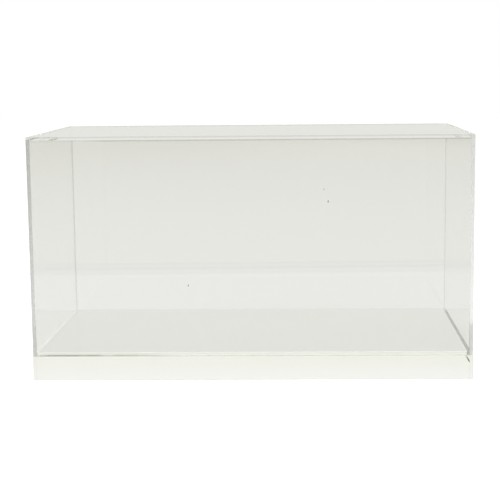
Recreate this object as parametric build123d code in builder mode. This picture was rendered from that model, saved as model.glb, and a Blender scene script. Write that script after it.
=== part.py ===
"""Clear display case: a lift-off cover of five clear sheets on a low white plinth.

+X is to the right, +Y to the back and +Z up. The origin is on the surface that the plinth
stands on, below the middle of the plinth. All sizes are in millimetres.
"""

import os

from build123d import *

os.makedirs("parts", exist_ok=True)

# Driving sizes of the cover, measured over its outside faces
cover_length = 400.0  # along X
cover_depth = 200.0  # along Y
cover_height = 200.0  # along Z, from the plinth to the top face
cover_sheet = 3.0  # thickness of all five clear sheets
cover_edge_break = 0.3  # bevel polished on the outer edges

# Driving sizes of the plinth
plinth_height = 22.0
plinth_ledge = 0.5  # how far the plinth stands out past the cover, on every side
skirt_sheet = 3.0  # thickness of the four side panels
skirt_edge_round = 0.5  # radius on the outer edges of the side panels
deck_sheet = 3.0  # thickness of the panel between the skirts

# Raised floor that the cover drops over
platform_sheet = 3.0
platform_clearance = 1.0  # gap to the inner face of each cover wall
platform_corner_radius = 2.0
platform_edge_break = 0.3

# Supports hidden under the deck
rib_sheet = 3.0
rib_recess = 1.5  # how far the rib stops short of the supporting surface
block_size = 12.0  # side of each square corner block
block_recess = 1.5  # how far the blocks stop short of the supporting surface

# Levels and half sizes that several pieces share
cover_top_z = plinth_height + cover_height
wall_height = cover_height - cover_sheet
deck_underside_z = plinth_height - deck_sheet
plinth_length = cover_length + 2 * plinth_ledge
plinth_depth = cover_depth + 2 * plinth_ledge
deck_length = plinth_length - 2 * skirt_sheet
deck_depth = plinth_depth - 2 * skirt_sheet
inner_length = cover_length - 2 * cover_sheet
inner_depth = cover_depth - 2 * cover_sheet

# A bevel or round never takes more than a fifth of the sheet it is on
cover_bevel = min(cover_edge_break, cover_sheet / 5)
skirt_round = min(skirt_edge_round, skirt_sheet / 5)
platform_bevel = min(platform_edge_break, platform_sheet / 5)


def finish(piece, name):
    """Label a finished piece and write it under its own name."""
    piece.part.label = name
    export_step(piece.part, f"parts/{name}.step")


# The top sheet lies over all four walls, and its upper rim and corners are bevelled
with BuildPart() as cover_top:
    with BuildSketch(Plane.XY.offset(cover_top_z - cover_sheet)):
        Rectangle(cover_length, cover_depth)
    extrude(amount=cover_sheet)
    chamfer(cover_top.edges().filter_by(Axis.Z), length=cover_bevel)
    chamfer(cover_top.faces().sort_by(Axis.Z)[-1].edges(), length=cover_bevel)
finish(cover_top, "cover_top")


# A side wall runs the full depth, so its polished ends show at the front and the back
for side, name in ((-1, "cover_left"), (1, "cover_right")):
    with BuildPart() as cover_side:
        with BuildSketch(Plane.XY.offset(plinth_height)):
            with Locations((side * (cover_length - cover_sheet) / 2, 0)):
                Rectangle(cover_sheet, cover_depth)
        extrude(amount=wall_height)
        outer_face = cover_side.faces().sort_by(Axis.X)[-1 if side > 0 else 0]
        upright_edges = outer_face.edges().filter_by(Axis.Z)
        lower_edge = outer_face.edges().filter_by(Axis.Y).sort_by(Axis.Z)[0]
        chamfer(upright_edges + [lower_edge], length=cover_bevel)
    finish(cover_side, name)


# The front and back walls stand between the side walls
for side, name in ((-1, "cover_front"), (1, "cover_back")):
    with BuildPart() as cover_wall:
        with BuildSketch(Plane.XY.offset(plinth_height)):
            with Locations((0, side * (cover_depth - cover_sheet) / 2)):
                Rectangle(inner_length, cover_sheet)
        extrude(amount=wall_height)
        outer_face = cover_wall.faces().sort_by(Axis.Y)[-1 if side > 0 else 0]
        chamfer(outer_face.edges().filter_by(Axis.X).sort_by(Axis.Z)[0], length=cover_bevel)
    finish(cover_wall, name)


# The platform is cemented on the deck and drops inside the cover with a gap all round
with BuildPart() as platform:
    with BuildSketch(Plane.XY.offset(plinth_height)):
        RectangleRounded(
            inner_length - 2 * platform_clearance,
            inner_depth - 2 * platform_clearance,
            platform_corner_radius,
        )
    extrude(amount=platform_sheet)
    chamfer(platform.faces().sort_by(Axis.Z)[-1].edges(), length=platform_bevel)
finish(platform, "platform")


# The deck closes the plinth between the skirts, flush with their tops
with BuildPart() as deck:
    with BuildSketch(Plane.XY.offset(deck_underside_z)):
        Rectangle(deck_length, deck_depth)
    extrude(amount=deck_sheet)
finish(deck, "deck")


# The side skirts run the full depth of the plinth
for side, name in ((-1, "skirt_left"), (1, "skirt_right")):
    with BuildPart() as skirt_side:
        with BuildSketch(Plane.XY):
            with Locations((side * (plinth_length - skirt_sheet) / 2, 0)):
                Rectangle(skirt_sheet, plinth_depth)
        extrude(amount=plinth_height)
        outer_face = skirt_side.faces().sort_by(Axis.X)[-1 if side > 0 else 0]
        fillet(outer_face.edges().sort_by(Axis.Z)[1:], radius=skirt_round)
    finish(skirt_side, name)


# The front and back skirts stand between the side skirts
for side, name in ((-1, "skirt_front"), (1, "skirt_back")):
    with BuildPart() as skirt_wall:
        with BuildSketch(Plane.XY):
            with Locations((0, side * (plinth_depth - skirt_sheet) / 2)):
                Rectangle(deck_length, skirt_sheet)
        extrude(amount=plinth_height)
        outer_face = skirt_wall.faces().sort_by(Axis.Y)[-1 if side > 0 else 0]
        fillet(outer_face.edges().filter_by(Axis.X).sort_by(Axis.Z)[-1], radius=skirt_round)
    finish(skirt_wall, name)


# One rib under the middle of the deck reaches from the front skirt to the back skirt
with BuildPart() as centre_rib:
    with BuildSketch(Plane.XY.offset(rib_recess)):
        Rectangle(rib_sheet, deck_depth)
    extrude(amount=deck_underside_z - rib_recess)
finish(centre_rib, "centre_rib")


# A square block stiffens each inner corner of the plinth
for row, row_name in ((-1, "front"), (1, "back")):
    for side, side_name in ((-1, "left"), (1, "right")):
        with BuildPart() as corner_block:
            with BuildSketch(Plane.XY.offset(block_recess)):
                with Locations(
                    (side * (deck_length - block_size) / 2, row * (deck_depth - block_size) / 2)
                ):
                    Rectangle(block_size, block_size)
            extrude(amount=deck_underside_z - block_recess)
        finish(corner_block, f"corner_block_{row_name}_{side_name}")
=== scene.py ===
"""Looks for a clear display case: a cover of five cemented clear sheets on a low white plinth.

Everything is in metres. The camera faces the front, +X is to the right and +Z is up.
"""

import math

import bmesh
import bpy
from mathutils import Matrix, Vector


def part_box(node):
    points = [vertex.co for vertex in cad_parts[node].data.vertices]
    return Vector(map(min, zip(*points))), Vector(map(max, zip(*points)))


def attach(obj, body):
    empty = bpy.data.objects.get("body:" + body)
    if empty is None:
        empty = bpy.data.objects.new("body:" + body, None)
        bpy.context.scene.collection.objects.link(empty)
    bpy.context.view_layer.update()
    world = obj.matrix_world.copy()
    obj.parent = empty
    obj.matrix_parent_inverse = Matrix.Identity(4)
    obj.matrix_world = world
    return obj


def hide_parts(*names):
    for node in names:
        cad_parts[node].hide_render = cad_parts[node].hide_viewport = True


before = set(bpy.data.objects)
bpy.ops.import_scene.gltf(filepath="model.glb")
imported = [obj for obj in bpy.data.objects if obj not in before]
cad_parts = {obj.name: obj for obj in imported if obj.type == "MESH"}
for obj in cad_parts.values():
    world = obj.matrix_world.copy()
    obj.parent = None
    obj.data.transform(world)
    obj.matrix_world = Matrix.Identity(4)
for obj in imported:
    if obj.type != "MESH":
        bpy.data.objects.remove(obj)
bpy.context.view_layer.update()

MM = 0.001
AXES = {"x": Vector((1, 0, 0)), "y": Vector((0, 1, 0)), "z": Vector((0, 0, 1))}
same_place = 1e-6  # two places this near are one
same_way = 0.99  # a face turned this nearly along an axis faces that way
sharp_angle = 1.0  # radians between the faces of a sharp edge

# Clear sheets
cement_film = 0.04 * MM  # clear cement between two cemented faces
joint_reach = 1.5 * cement_film  # a face this near a joint is cemented
arris_bevel = 0.22 * MM  # polished bevel along every free arris
foot_air = 0.05 * MM  # air under the walls where they stand on the plinth
face_slot, cement_slot, edge_slot, foot_slot = range(4)  # a sheet's materials in their order
acrylic_ior = 1.49
ripple_height = 0.2 * MM

# White plinth panels
panel_round = 0.5 * MM  # round along the upper outer edge
panel_end_break = 0.2 * MM  # break on the ends, which shows as a fine joint line

# Crack across the upper right corner of the front panel, from its right end and upper edge
crack_lower_side = ((0.0, -6.4), (-0.9, -6.0), (-2.2, -4.1), (-3.6, -1.0), (-3.95, 0.0))
crack_upper_side = ((-3.88, 0.0), (-3.0, -0.9), (-1.0, -3.4), (-0.4, -5.4), (0.0, -6.25))
nick_from_end = 4.0 * MM
nick_half_width = 0.6 * MM
nick_height = 0.9 * MM

# Small dark specks on the back wall: place across, place up and half height in mm
back_specks = ((-76.8, 50.7, 1.0), (73.5, 140.4, 1.3), (69.1, 153.6, 0.6))
speck_edge = 0.5 * MM
speck_slimness = 2.0  # times as high as wide

# Where each mark begins or ends: it fades from the first place to the second, in mm along an axis
back_wall_inside = (96.0, 96.5)
front_wall_inside = (-96.5, -96.0)
under_top_sheet = (217.6, 217.9)
under_top_left = (-150.0, -130.0)
wall_end_height = (50.0, 200.0)
panel_height = (1.0, 22.0)
seam_front = (-98.5, -98.0)
seam_back = (-95.8, -95.5)
seam_foot = (21.4, 21.8)
seam_head = (22.6, 23.0)
seam_left = (-198.5, -190.0)
seam_right = (-145.0, -65.0)
platform_face = (24.85, 24.95)
platform_bevel = (24.3, 24.6)
platform_depth = (-90.0, 90.0)
left_dark_side = (-194.7, -194.3)
left_pale_side = (-195.3, -195.0)
right_pale_side = (194.0, 194.3)
right_dark_side = (195.2, 195.5)

# Tones of the marks
clear_tone = (0.965, 0.968, 0.955, 1.0)
# painted shade under the top sheet's front edge
under_top_shade_tone = (0.78, 0.78, 0.73, 1.0)
speck_tone = (0.50, 0.47, 0.43, 1.0)
# painted light bounced up from the floor onto the plinth's foot
floor_bounce_tone = (0.925, 0.93, 0.895, 1.0)
# painted shade in the seam at the foot of the front wall
seam_shade_tone = (0.45, 0.45, 0.39, 1.0)
platform_front_tone = (0.905, 0.91, 0.885, 1.0)
# painted shade on the platform's front edge
painted_front_shade_tone = (0.88, 0.88, 0.86, 1.0)
# painted highlight and painted reflection along the platform's edges
painted_light_tone = (1.0, 1.0, 0.99, 1.0)
# painted reflection beside the platform's left edge
reflection_dark_tone = (0.80, 0.805, 0.78, 1.0)
# painted reflection and shade along the platform's right edge
reflection_shade_tone = (0.40, 0.395, 0.35, 1.0)

# Pale mat under and behind the case, and how far behind the middle of the case each tone starts
floor_radius = 6.0
floor_drop = 0.2 * MM
mat_reach = 3.0
mat_skew = 0.03
near_mat = (0.412, 0.406, 0.405, 1.0)
mat_rim = (0.366, 0.361, 0.356, 1.0)
mat_lip = (0.382, 0.376, 0.366, 1.0)
mat_shade = (0.337, 0.332, 0.323, 1.0)
floor_behind = (0.385, 0.379, 0.360, 1.0)
floor_far = (0.354, 0.349, 0.312, 1.0)
mat_tones = (
    (0.455, near_mat),
    (0.462, mat_rim),
    (0.479, mat_rim),
    (0.484, mat_lip),
    (0.497, mat_lip),
    (0.503, mat_shade),
    (0.517, mat_shade),
    (0.521, mat_rim),
    (0.537, mat_rim),
    (0.542, mat_shade),
    (0.556, mat_shade),
    (0.561, floor_behind),
    (1.100, floor_behind),
    (2.900, floor_far),
)

# Front camera, fitted to the corners of the case in the photograph
frame_px = 500.0
camera_place = Vector((48.7126, -1146.3194, 282.4906)) * MM
camera_yaw = -0.0213
camera_pitch = 0.1292
camera_roll = -0.0087
camera_focal_px = 1178.937
optical_axis_px = Vector((280.0, 220.0))

# Lamps
lamp_aim = Vector((0.0, 0.0, 0.1))


class Value:
    """A node socket that takes arithmetic, so that a mask is written as an expression."""

    def __init__(self, finish, socket):
        self.finish = finish
        self.socket = socket

    def math(self, operation, first, second):
        return self.finish.node("ShaderNodeMath", {"operation": operation}, {0: first, 1: second})

    def __add__(self, other):
        return self.math("ADD", self, other)

    def __radd__(self, other):
        return self.math("ADD", other, self)

    def __sub__(self, other):
        return self.math("SUBTRACT", self, other)

    def __rsub__(self, other):
        return self.math("SUBTRACT", other, self)

    def __mul__(self, other):
        return self.math("MULTIPLY", self, other)

    def __rmul__(self, other):
        return self.math("MULTIPLY", other, self)


class Finish:
    """One material or world and the nodes that make it."""

    def __init__(self, holder):
        holder.use_nodes = True
        self.holder = holder
        self.tree = holder.node_tree
        self.tree.nodes.clear()

    def node(self, kind, settings=None, inputs=None, output=0):
        made = self.tree.nodes.new(kind)
        for name, value in (settings or {}).items():
            if name == "stops":
                fill_ramp(made.color_ramp, value)
            else:
                setattr(made, name, value)
        for name, value in (inputs or {}).items():
            if isinstance(value, Value):
                self.tree.links.new(value.socket, made.inputs[name])
            else:
                made.inputs[name].default_value = value
        return Value(self, made.outputs[output])

    def end(self, surface):
        world = isinstance(self.holder, bpy.types.World)
        made = self.tree.nodes.new("ShaderNodeOutputWorld" if world else "ShaderNodeOutputMaterial")
        self.tree.links.new(surface.socket, made.inputs["Surface"])
        return self.holder

    def place(self):
        return self.node("ShaderNodeTexCoord", output="Object")

    def along(self, axis):
        return self.node("ShaderNodeSeparateXYZ", inputs={0: self.place()}, output=axis.upper())

    def between(self, value, low, high):
        """0 below low, 1 above high and a straight rise between them."""
        return self.node(
            "ShaderNodeMapRange", inputs={"Value": value, "From Min": low, "From Max": high}
        )

    def past(self, axis, fade):
        """0 before a mark's fade along an axis and 1 after it."""
        start, end = fade
        return self.between(self.along(axis), start * MM, end * MM)

    def before(self, axis, fade):
        return 1 - self.past(axis, fade)

    def noise(self, scale, detail=2.0, stretch=(1, 1, 1)):
        spot = self.node("ShaderNodeMapping", inputs={"Vector": self.place(), "Scale": stretch})
        return self.node("ShaderNodeTexNoise", inputs={"Vector": spot, "Scale": scale, "Detail": detail})

    def blend_colour(self, share, first, second):
        return self.node(
            "ShaderNodeMix", {"data_type": "RGBA"}, {0: share, 6: first, 7: second}, output=2
        )

    def blend_shader(self, share, first, second):
        return self.node("ShaderNodeMixShader", inputs={0: share, 1: first, 2: second})

    def ray(self, kind):
        return self.node("ShaderNodeLightPath", output=f"Is {kind} Ray")


def fill_ramp(ramp, stops):
    while len(ramp.elements) < len(stops):
        ramp.elements.new(0.5)
    for element, (position, colour) in zip(ramp.elements, stops):
        element.position = position
        element.color = colour


def grey(level):
    return (level, level, level, 1.0)


def material(name):
    return Finish(bpy.data.materials.new(name))


def open_to_light(finish, body, open_tint):
    """Soft light and shadows pass straight through a clear sheet, a little dimmed."""
    open_way = finish.node("ShaderNodeBsdfTransparent", inputs={"Color": open_tint})
    soft = finish.blend_shader(finish.ray("Diffuse"), body, open_way)
    return finish.end(finish.blend_shader(finish.ray("Shadow"), soft, open_way))


def painted_shade_under_top(finish):
    """Painted shade: a dark line under the top sheet's front edge, where the joint's shadow falls, fainter at
    the left.
    """
    at_left = 0.25
    along = finish.past("x", under_top_left) * (1 - at_left) + at_left
    return finish.past("z", under_top_sheet) * finish.before("y", front_wall_inside) * along


def specks(finish):
    """A few small dark specks, shown on the back wall."""
    squeeze = (speck_slimness, 0.0, 1.0)
    spot = finish.node("ShaderNodeVectorMath", {"operation": "MULTIPLY"}, {0: finish.place(), 1: squeeze})
    found = 0
    for across, up, half in back_specks:
        ends = {0: spot, 1: (speck_slimness * across * MM, 0.0, up * MM)}
        away = finish.node("ShaderNodeVectorMath", {"operation": "DISTANCE"}, ends, output=1)
        found = found + (1 - finish.between(away, half * MM, half * MM + speck_edge))
    return found * finish.past("y", back_wall_inside)


def clear_face_finish():
    """Polished face of a clear sheet, with a few hairline wiping scratches, a few dark specks and a line of
    painted shade under the top sheet's front edge.
    """
    finish = material("clear_face")
    wiped = finish.between(finish.noise(scale=900.0, detail=3.0, stretch=(0.05, 1.0, 1.0)), 0.62, 0.74)
    tone = finish.blend_colour(painted_shade_under_top(finish), clear_tone, under_top_shade_tone)
    body = finish.node(
        "ShaderNodeBsdfPrincipled",
        inputs={
            "Base Color": finish.blend_colour(specks(finish), tone, speck_tone),
            "Roughness": wiped * 0.01,
            "IOR": acrylic_ior,
            "Transmission Weight": 1.0,
        },
    )
    return open_to_light(finish, body, (0.975, 0.98, 0.965, 1.0))


def polished_edge_finish():
    """Flame-polished edge of the top sheet, faintly wavy along its length."""
    finish = material("polished_edge")
    wave = finish.noise(scale=60.0, detail=2.0, stretch=(1.0, 1.0, 4.0))
    ripple = finish.node(
        "ShaderNodeBump", inputs={"Strength": 0.01, "Distance": ripple_height, "Height": wave}
    )
    body = finish.node(
        "ShaderNodeBsdfPrincipled",
        inputs={
            "Base Color": (0.98, 0.98, 0.985, 1.0),
            "Roughness": wave * 0.04,
            "IOR": acrylic_ior,
            "Transmission Weight": 1.0,
            "Normal": ripple,
        },
    )
    return open_to_light(finish, body, (0.97, 0.975, 0.96, 1.0))


def end_finish(name, foot_tone, head_tone, roughness, share_through):
    """Machined end of a side wall, rougher than its polished faces, its tone darkening towards the top."""
    finish = material(name)
    cutter_marks = finish.noise(scale=260.0, detail=2.0, stretch=(1.0, 1.0, 0.15))
    upward = finish.past("z", wall_end_height) * 0.9 + cutter_marks * 0.2 - 0.05
    body = finish.node(
        "ShaderNodeBsdfPrincipled",
        inputs={
            "Base Color": finish.blend_colour(upward, foot_tone, head_tone),
            "Roughness": cutter_marks * 0.1 + roughness,
            "IOR": acrylic_ior,
            "Transmission Weight": share_through,
        },
    )
    return open_to_light(finish, body, (0.94, 0.95, 0.93, 1.0))


def sawn_foot_finish():
    """Sawn lower edge of the cover walls, toned grey for dirt and as painted shade along the walls' foot."""
    finish = material("sawn_foot")
    saw_marks = finish.noise(scale=900.0, detail=2.0, stretch=(1.0, 1.0, 0.2))
    tone = finish.blend_colour(saw_marks, (0.62, 0.63, 0.60, 1.0), (0.76, 0.77, 0.74, 1.0))
    body = finish.node(
        "ShaderNodeBsdfPrincipled",
        inputs={
            "Base Color": tone,
            "Roughness": saw_marks * 0.3 + 0.35,
            "IOR": acrylic_ior,
            "Transmission Weight": 0.4,
        },
    )
    return open_to_light(finish, body, (0.8, 0.81, 0.79, 1.0))


def cement_finish():
    """Cemented face: clear cement with a scatter of tiny bubbles, which joins sheet to sheet."""
    finish = material("clear_cement")
    bubbles = finish.between(finish.noise(scale=1500.0, detail=1.0), 0.7, 0.74)
    haze = finish.node("ShaderNodeBsdfTranslucent", inputs={"Color": (0.9, 0.91, 0.89, 1.0)})
    joined = finish.node("ShaderNodeBsdfTransparent", inputs={"Color": (0.975, 0.98, 0.97, 1.0)})
    return finish.end(finish.blend_shader(bubbles * 0.3, joined, haze))


def white_sheet_finish(name, colour, shade, roughness, marks=()):
    """Opal white acrylic, faintly mottled and scratched; each mark tints where its mask is 1."""
    finish = material(name)
    cloud = finish.noise(scale=14.0, detail=3.0)
    tone = finish.blend_colour(finish.between(cloud, 0.35, 0.7), colour, shade)
    for mask, tint in marks:
        tone = finish.blend_colour(mask(finish), tone, tint)
    scratches = finish.noise(scale=700.0, detail=2.0, stretch=(0.08, 1.0, 1.0))
    ripple = finish.node(
        "ShaderNodeBump", inputs={"Strength": 0.02, "Distance": ripple_height, "Height": cloud}
    )
    body = finish.node(
        "ShaderNodeBsdfPrincipled",
        inputs={
            "Base Color": tone,
            "Roughness": scratches * 0.12 + roughness,
            "IOR": acrylic_ior,
            "Normal": ripple,
        },
    )
    return finish.end(body)


def painted_floor_bounce(finish):
    """Painted light bounced up from the floor: the plinth's panels are whitest at the foot."""
    return finish.before("z", panel_height)


def seam_painted_shade(finish):
    """Painted shade in the seam between the platform and the front wall: a dark line, darkest toward the
    left.
    """
    in_seam = finish.past("y", seam_front) * finish.before("y", seam_back)
    low_down = finish.past("z", seam_foot) * finish.before("z", seam_head)
    from_left = finish.past("x", seam_left) * 0.5 + 0.5
    uneven = finish.between(finish.noise(scale=60.0, detail=2.0), 0.2, 0.5)
    return in_seam * low_down * from_left * finish.before("x", seam_right) * uneven


def below_top(finish):
    """Everything under the platform's upper face."""
    return finish.before("z", platform_face)


def painted_front_shade(finish):
    """The platform's front edge, seen through the front wall, toned darker than its top as painted shade."""
    return below_top(finish) * finish.before("y", seam_back)


def painted_bevel_highlight(finish):
    """Painted highlight on the bevels of the platform's cut edges, whiter than its polished face."""
    return below_top(finish) * finish.past("z", platform_bevel)


def toward_front(finish):
    """The platform is a little darker toward the front."""
    return finish.before("y", platform_depth)


def painted_reflection_left_dark(finish):
    """Painted reflection: a darker line beside the platform's left edge, for the gap mirrored in the left
    wall.
    """
    return finish.before("x", left_dark_side)


def painted_reflection_left_pale(finish):
    """Painted reflection: a whiter line along the platform's left edge, and its whole left side, for the lit
    side mirrored in the left wall.
    """
    return finish.before("x", left_pale_side)


def painted_highlight_right(finish):
    """Painted highlight: a whiter line beside the platform's right edge."""
    return finish.past("x", right_pale_side)


def painted_reflection_right_dark(finish):
    """Painted reflection and shade: a dark band along the platform's right edge, and its whole right side,
    for the shaded gap and side mirrored in the right wall.
    """
    return finish.past("x", right_dark_side)


clear_face = clear_face_finish()
polished_edge = polished_edge_finish()
# The left wall's end is toned darker than the right's as painted shade: the two ends are shaded and lit
# copies of one finish.
painted_shade_end = end_finish(
    "painted_shade_end",
    foot_tone=(0.745, 0.755, 0.735, 1.0),
    head_tone=(0.55, 0.55, 0.53, 1.0),
    roughness=0.15,
    share_through=0.45,
)
clear_end = end_finish(
    "clear_end",
    foot_tone=(0.99, 0.99, 0.98, 1.0),
    head_tone=(0.80, 0.81, 0.80, 1.0),
    roughness=0.05,
    share_through=0.6,
)
sawn_foot = sawn_foot_finish()
clear_cement = cement_finish()
plinth_white = white_sheet_finish(
    "plinth_white",
    colour=(0.90, 0.90, 0.83, 1.0),
    shade=(0.885, 0.885, 0.81, 1.0),
    roughness=0.16,
    marks=((painted_floor_bounce, floor_bounce_tone), (seam_painted_shade, seam_shade_tone)),
)
platform_white = white_sheet_finish(
    "platform_white",
    colour=(0.945, 0.945, 0.925, 1.0),
    shade=(0.93, 0.93, 0.91, 1.0),
    roughness=0.12,
    marks=(
        (toward_front, platform_front_tone),
        (painted_reflection_left_dark, reflection_dark_tone),
        (painted_reflection_left_pale, painted_light_tone),
        (painted_highlight_right, painted_light_tone),
        (painted_front_shade, painted_front_shade_tone),
        (painted_bevel_highlight, painted_light_tone),
        (painted_reflection_right_dark, reflection_shade_tone),
        (seam_painted_shade, seam_shade_tone),
    ),
)
sawn_white = white_sheet_finish(
    "sawn_white",
    colour=(0.84, 0.84, 0.80, 1.0),
    shade=(0.80, 0.80, 0.77, 1.0),
    roughness=0.55,
)


def block_mesh(low, high):
    made = bmesh.new()
    bmesh.ops.create_cube(made, size=1.0)
    bmesh.ops.scale(made, vec=high - low, verts=made.verts)
    bmesh.ops.translate(made, vec=(low + high) / 2, verts=made.verts)
    return made


def finished_piece(name, made, finishes):
    mesh = bpy.data.meshes.new(name)
    made.to_mesh(mesh)
    made.free()
    for finish in finishes:
        mesh.materials.append(finish)
    piece = bpy.data.objects.new(name, mesh)
    bpy.context.scene.collection.objects.link(piece)
    return piece


def cut_at(made, axis, place):
    everything = made.verts[:] + made.edges[:] + made.faces[:]
    bmesh.ops.bisect_plane(made, geom=everything, plane_co=AXES[axis] * place, plane_no=AXES[axis])


def is_cemented(face, inner):
    """A face is cemented where it lies in a joint, given the cover's inner corner."""
    spot = face.calc_center_median()
    side, row = abs(spot.x), abs(spot.y)
    under_top = abs(spot.z - inner.z) < joint_reach and (side > inner.x or row > inner.y)
    at_wall_end = abs(side - inner.x) < joint_reach and row > inner.y
    return under_top or at_wall_end


def clear_sheet(node, trim_low, trim_high, thin_axis, edge_finish, inner):
    """One clear sheet with bevelled free arrises and cemented joints."""
    low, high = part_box(node)
    made = block_mesh(low + trim_low, high + trim_high)
    for side in (-1, 1):
        cut_at(made, "x", side * inner.x)
        cut_at(made, "y", side * inner.y)
    sharp = [edge for edge in made.edges if edge.calc_face_angle(0) > sharp_angle]
    free = [edge for edge in sharp if not any(is_cemented(face, inner) for face in edge.link_faces)]
    bmesh.ops.bevel(made, geom=free, offset=arris_bevel, segments=2, profile=0.5, affect="EDGES")
    foot = min(vertex.co.z for vertex in made.verts) + arris_bevel / 2
    for face in made.faces:
        if is_cemented(face, inner):
            face.material_index = cement_slot
        elif abs(face.normal.dot(AXES[thin_axis])) > same_way:
            face.material_index = face_slot
        elif thin_axis != "z" and face.calc_center_median().z < foot:
            face.material_index = foot_slot
        else:
            face.material_index = edge_slot
    piece = finished_piece(node + "_sheet", made, (clear_face, clear_cement, edge_finish, sawn_foot))
    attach(piece, "cover")
    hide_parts(node)


def cover_sheets():
    """The five clear sheets, each a film of cement apart where they join."""
    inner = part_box("cover_front")[1].copy()
    inner.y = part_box("cover_back")[0].y
    foot_gap = Vector((0, 0, foot_air))
    top_gap = Vector((0, 0, -cement_film))
    end_gap = Vector((cement_film, 0, 0))
    clear_sheet("cover_top", Vector(), Vector(), "z", polished_edge, inner)
    clear_sheet("cover_left", foot_gap, top_gap, "x", painted_shade_end, inner)
    clear_sheet("cover_right", foot_gap, top_gap, "x", clear_end, inner)
    for node in ("cover_front", "cover_back"):
        clear_sheet(node, foot_gap + end_gap, top_gap - end_gap, "y", polished_edge, inner)


def panel_from_outline(outline, front, back):
    """A panel of an outline in X and Z, from its outer face to its inner face."""
    made = bmesh.new()
    near = [made.verts.new((x, front, z)) for x, z in outline]
    far = [made.verts.new((x, back, z)) for x, z in outline]
    made.faces.new(near)
    made.faces.new(far[::-1])
    for index in range(len(outline)):
        after = (index + 1) % len(outline)
        made.faces.new((near[after], near[index], far[index], far[after]))
    bmesh.ops.recalc_face_normals(made, faces=made.faces[:])
    return made


def edges_at(edges, axis, place):
    """The edges that lie wholly at one place along an axis."""
    return [
        edge for edge in edges
        if all(abs(vertex.co.dot(AXES[axis]) - place) < same_place for vertex in edge.verts)
    ]


def break_outer_edges(made, front, top):
    """Rounds the upper outer edge and breaks the outer edges of the two ends."""
    outer = edges_at(made.edges, "y", front)
    upper = edges_at(outer, "z", top)
    others = [edge for edge in outer if edge not in upper]
    bmesh.ops.bevel(made, geom=others, offset=panel_end_break, segments=1, affect="EDGES")
    upper = edges_at(edges_at(made.edges, "z", top), "y", front)
    bmesh.ops.bevel(made, geom=upper, offset=panel_round, segments=4, profile=0.5, affect="EDGES")


def plinth_panel(name, node, outline, front, back, top):
    made = panel_from_outline(outline, front, back)
    break_outer_edges(made, front, top)
    piece = finished_piece(name, made, (plinth_white,))
    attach(piece, "plinth")
    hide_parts(node)


def long_panels():
    """The front and back panels; the front one is cracked at its upper right corner."""
    low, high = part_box("skirt_back")
    whole = [(low.x, low.z), (high.x, low.z), (high.x, high.z), (low.x, high.z)]
    plinth_panel("skirt_back_panel", "skirt_back", whole, high.y, low.y, high.z)
    low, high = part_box("skirt_front")
    nick = high.x - nick_from_end
    cracked = [
        (low.x, low.z),
        (nick - nick_half_width, low.z),
        (nick - nick_half_width / 3, low.z + nick_height),
        (nick + nick_half_width, low.z),
        (high.x, low.z),
        *((high.x + along * MM, high.z + down * MM) for along, down in crack_lower_side),
        (low.x, high.z),
    ]
    plinth_panel("skirt_front_panel", "skirt_front", cracked, low.y, high.y, high.z)
    chip = [(high.x + along * MM, high.z + down * MM) for along, down in crack_upper_side]
    chip.append((high.x, high.z))
    plinth_panel("skirt_front_chip", "skirt_front", chip, low.y, high.y, high.z)


def white_panels():
    """The remaining white pieces keep their shape and get their finish here."""
    for name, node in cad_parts.items():
        if name == "platform":
            finish = platform_white
        elif name in ("skirt_left", "skirt_right", "deck"):
            finish = plinth_white
        elif name.startswith(("centre_rib", "corner_block")):
            finish = sawn_white
        else:
            continue
        node.data.materials.clear()
        node.data.materials.append(finish)


def studio_world():
    """White to the camera, pale grey to the clear sheets, and a plain even light otherwise."""
    world = bpy.data.worlds.new("studio")
    bpy.context.scene.world = world
    finish = Finish(world)
    white = finish.node("ShaderNodeBackground", inputs={"Color": grey(1.0), "Strength": 1.0})
    pale = finish.node("ShaderNodeBackground", inputs={"Color": (0.975, 0.975, 0.93, 1.0), "Strength": 0.835})
    light = finish.node("ShaderNodeBackground", inputs={"Color": (1.0, 1.0, 0.985, 1.0), "Strength": 0.52})
    by_glass = finish.ray("Glossy") + finish.ray("Transmission")
    unseen = finish.blend_shader(by_glass, light, pale)
    finish.end(finish.blend_shader(finish.ray("Camera"), unseen, white))


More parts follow.
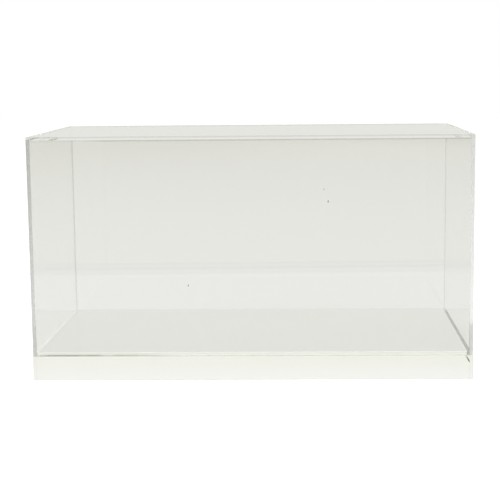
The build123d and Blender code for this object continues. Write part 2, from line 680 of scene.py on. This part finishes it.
def studio_floor():
    """A pale floor that is white to the camera and keeps the soft shadow.

    The clear sheets show it as a greyer mat whose edge runs across behind the case.
    """
    made = bmesh.new()
    bmesh.ops.create_circle(made, cap_ends=True, segments=96, radius=floor_radius)
    finish = material("floor_white")
    behind = finish.along("y") - finish.along("x") * mat_skew
    stops = [(away / mat_reach, tone) for away, tone in mat_tones]
    fade = finish.node("ShaderNodeValToRGB", {"stops": stops}, {"Fac": behind * (1 / mat_reach)})
    paper = finish.node("ShaderNodeBsdfDiffuse", inputs={"Color": grey(0.55)})
    lift = finish.node("ShaderNodeEmission", inputs={"Color": grey(1.0), "Strength": 0.72})
    far_lift = finish.node("ShaderNodeEmission", inputs={"Color": fade, "Strength": 1.0})
    white = finish.node("ShaderNodeAddShader", inputs={0: paper, 1: lift})
    pale = finish.node("ShaderNodeAddShader", inputs={0: paper, 1: far_lift})
    by_glass = finish.ray("Glossy") + finish.ray("Transmission")
    unseen = finish.blend_shader(by_glass, paper, pale)
    finish.end(finish.blend_shader(finish.ray("Camera"), unseen, white))
    floor = finished_piece("floor", made, (finish.holder,))
    floor.location.z = -floor_drop


def soft_lamp(name, place, size, watts):
    """A wide lamp that lights the case but isn't mirrored in its sheets."""
    data = bpy.data.lights.new(name, "AREA")
    data.shape = "RECTANGLE"
    data.size, data.size_y = size
    data.energy = watts
    lamp = bpy.data.objects.new(name, data)
    lamp.location = place
    lamp.rotation_euler = (lamp_aim - Vector(place)).to_track_quat("-Z", "Y").to_euler()
    lamp.visible_glossy = False
    lamp.visible_transmission = False
    bpy.context.scene.collection.objects.link(lamp)


def front_camera():
    data = bpy.data.cameras.new("front_camera")
    data.sensor_width = 36.0
    data.lens = camera_focal_px / frame_px * data.sensor_width
    data.shift_x = (frame_px / 2 - optical_axis_px.x) / frame_px
    data.shift_y = (optical_axis_px.y - frame_px / 2) / frame_px
    data.clip_start, data.clip_end = 0.05, 50.0
    camera = bpy.data.objects.new("front_camera", data)
    turn = (
        Matrix.Rotation(-camera_yaw, 4, "Z")
        @ Matrix.Rotation(math.pi / 2 - camera_pitch, 4, "X")
        @ Matrix.Rotation(camera_roll, 4, "Z")
    )
    camera.matrix_world = Matrix.Translation(camera_place) @ turn
    bpy.context.scene.collection.objects.link(camera)
    bpy.context.scene.camera = camera


front_camera()
cover_sheets()
long_panels()
white_panels()
studio_world()
studio_floor()
soft_lamp("left_lamp", place=(-6.8, -4.4, 3.8), size=(7.2, 7.2), watts=448.0)
soft_lamp("front_lamp", place=(1.0, -2.85, 1.2), size=(2.4, 2.0), watts=29.0)
soft_lamp("top_lamp", place=(0.0, 0.2, 2.6), size=(2.4, 2.0), watts=7.0)

scene = bpy.context.scene
scene.view_settings.view_transform = "Standard"
scene.cycles.max_bounces = 40
scene.cycles.transmission_bounces = 40
scene.cycles.glossy_bounces = 24
scene.cycles.transparent_max_bounces = 40
scene.cycles.caustics_refractive = False
scene.cycles.caustics_reflective = False
scene.cycles.use_denoising = True
